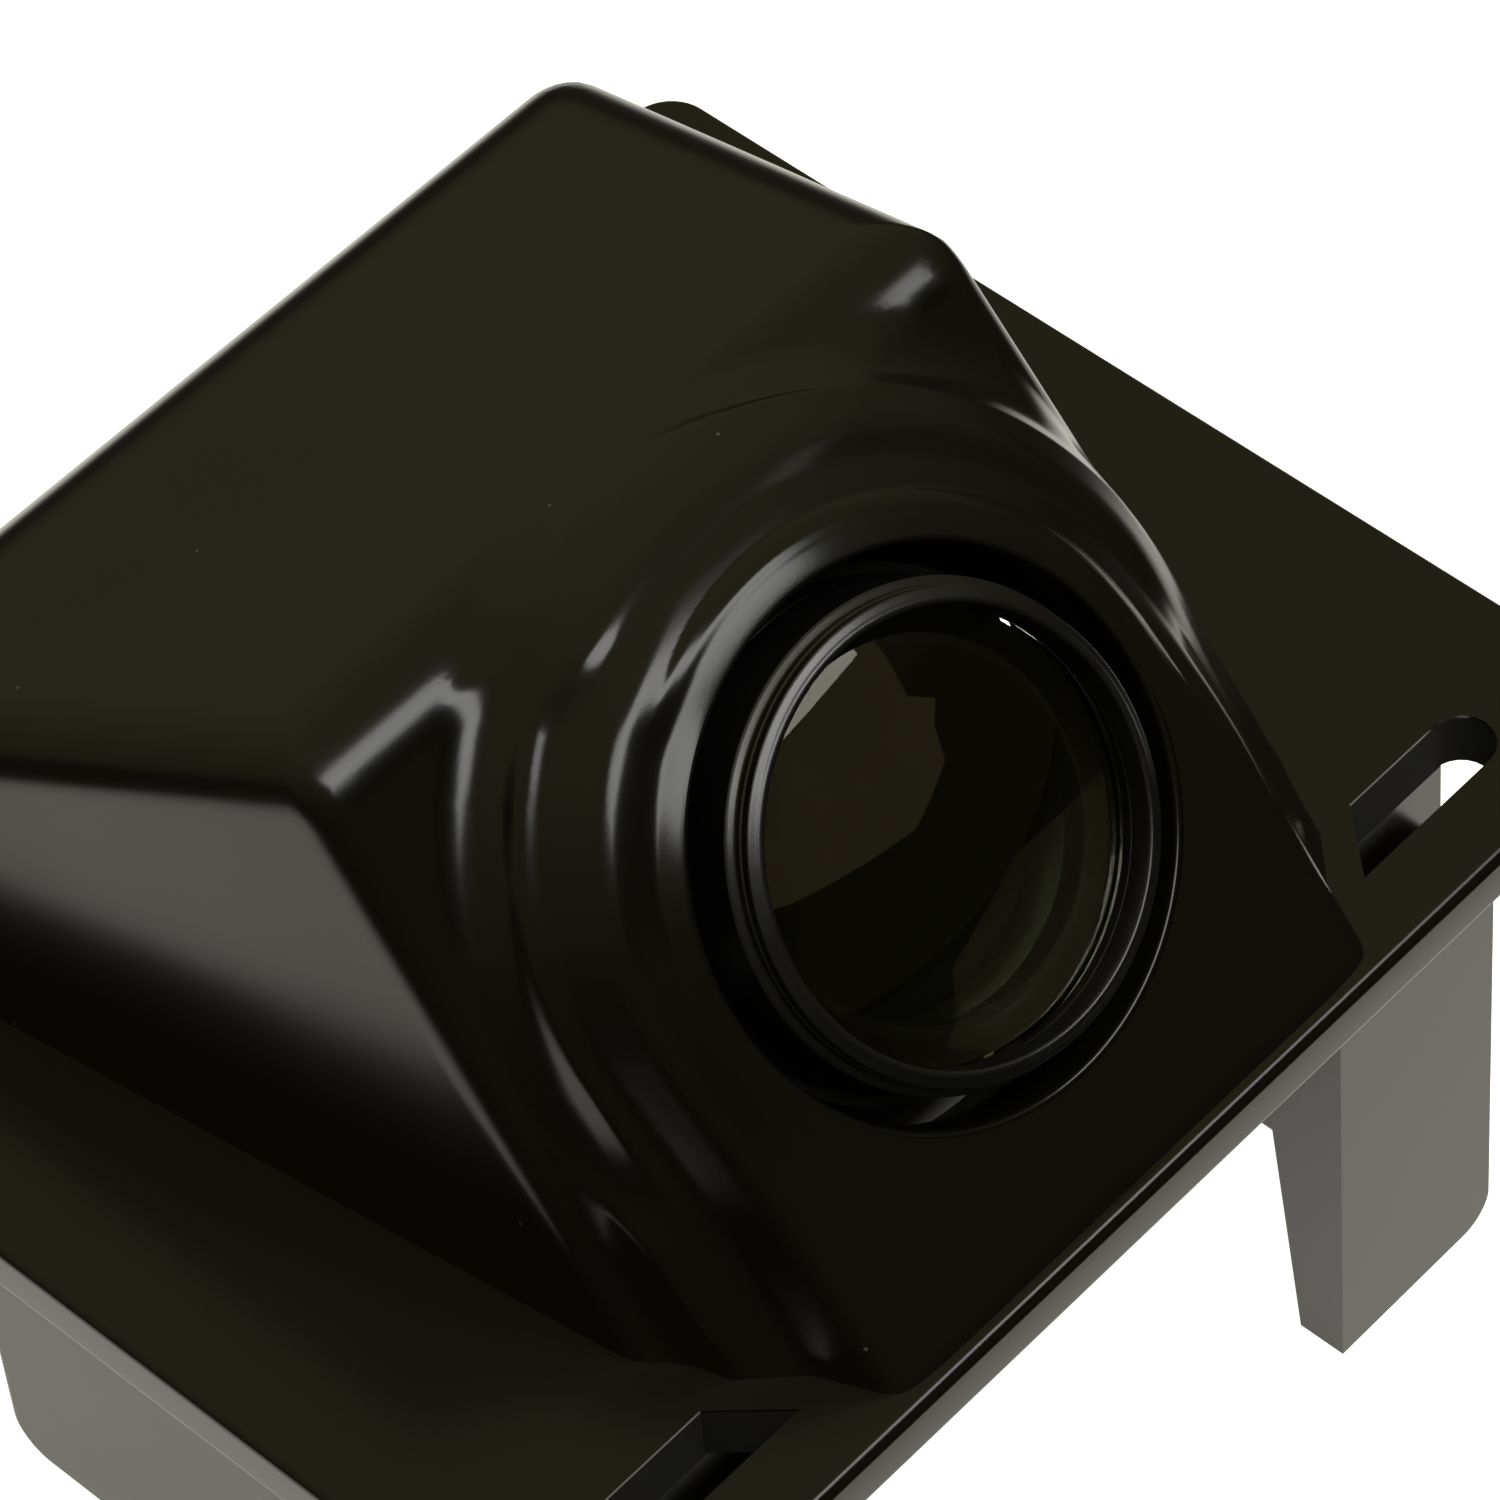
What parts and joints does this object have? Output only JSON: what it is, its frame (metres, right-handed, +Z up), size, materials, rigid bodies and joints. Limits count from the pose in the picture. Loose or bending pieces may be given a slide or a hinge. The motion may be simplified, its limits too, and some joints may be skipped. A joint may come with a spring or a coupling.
{
  "type": "backup camera",
  "caption": "Vehicle backup camera: a wedge-shaped black bezel on two snap legs, holding a sealed camera module whose wide lens looks out at a slant.",
  "frame": {"origin": "under the middle of the plate, on the plane of the legs' feet", "axes": "+Z up through the plate to the wedge, +X across the plate, the lens looks towards -Y and up"},
  "size_m": [0.044, 0.0388, 0.0386],
  "materials": {
    "bezel_plastic": "injection moulded black ABS, satin gloss",
    "foam": "closed-cell foam, matt",
    "screw_steel": "zinc plated steel, bright",
    "case_plastic": "glass-filled polyamide, fine matt",
    "silicone": "moulded silicone, matt",
    "rubber": "moulded nitrile rubber, matt",
    "lens_metal": "turned aluminium, black anodised",
    "optical_glass": "ground and coated",
    "stop_metal": "matt black",
    "filter_glass": "infrared cut coating",
    "chip_resin": "moulded epoxy",
    "circuit_board": "glass epoxy with green solder mask",
    "chip_ceramic": "fired ceramic, satin",
    "header_plastic": "moulded liquid crystal polymer",
    "tinned_steel": "tin plated sheet",
    "gold_contact": "gold flashed"
  },
  "bodies": {
    "root": {"bezel": "bezel_plastic", "panel_gasket": "foam", "bezel_screws": "screw_steel", "front_case": "case_plastic", "rear_case": "case_plastic", "case_seal": "silicone", "case_screws": "screw_steel", "lens_o_ring": "rubber", "sensor_glass": "optical_glass", "image_sensor": "chip_resin", "sensor_board": "circuit_board", "sensor_board_parts": "chip_ceramic", "board_screws": "screw_steel", "board_header": "header_plastic", "board_socket": "header_plastic", "main_board": "circuit_board", "video_processor": "chip_resin", "main_board_parts": "chip_ceramic", "emi_shield": "tinned_steel", "contact_pins": "gold_contact"},
    "lens": {"lens_barrel": "lens_metal", "lens_retaining_ring": "lens_metal", "front_lens": "optical_glass", "second_lens": "optical_glass", "aperture_stop": "stop_metal", "third_lens": "optical_glass", "lens_spacer": "stop_metal", "rear_lens": "optical_glass", "ir_filter": "filter_glass"}
  },
  "joints": [
    {"name": "lens_focus", "type": "hinge", "parent": "root", "child": "lens", "pos_m": [0, -0.01204, 0.0312], "axis": [0, -0.7976, 0.6032], "range_deg": [-45, 45]}
  ]
}
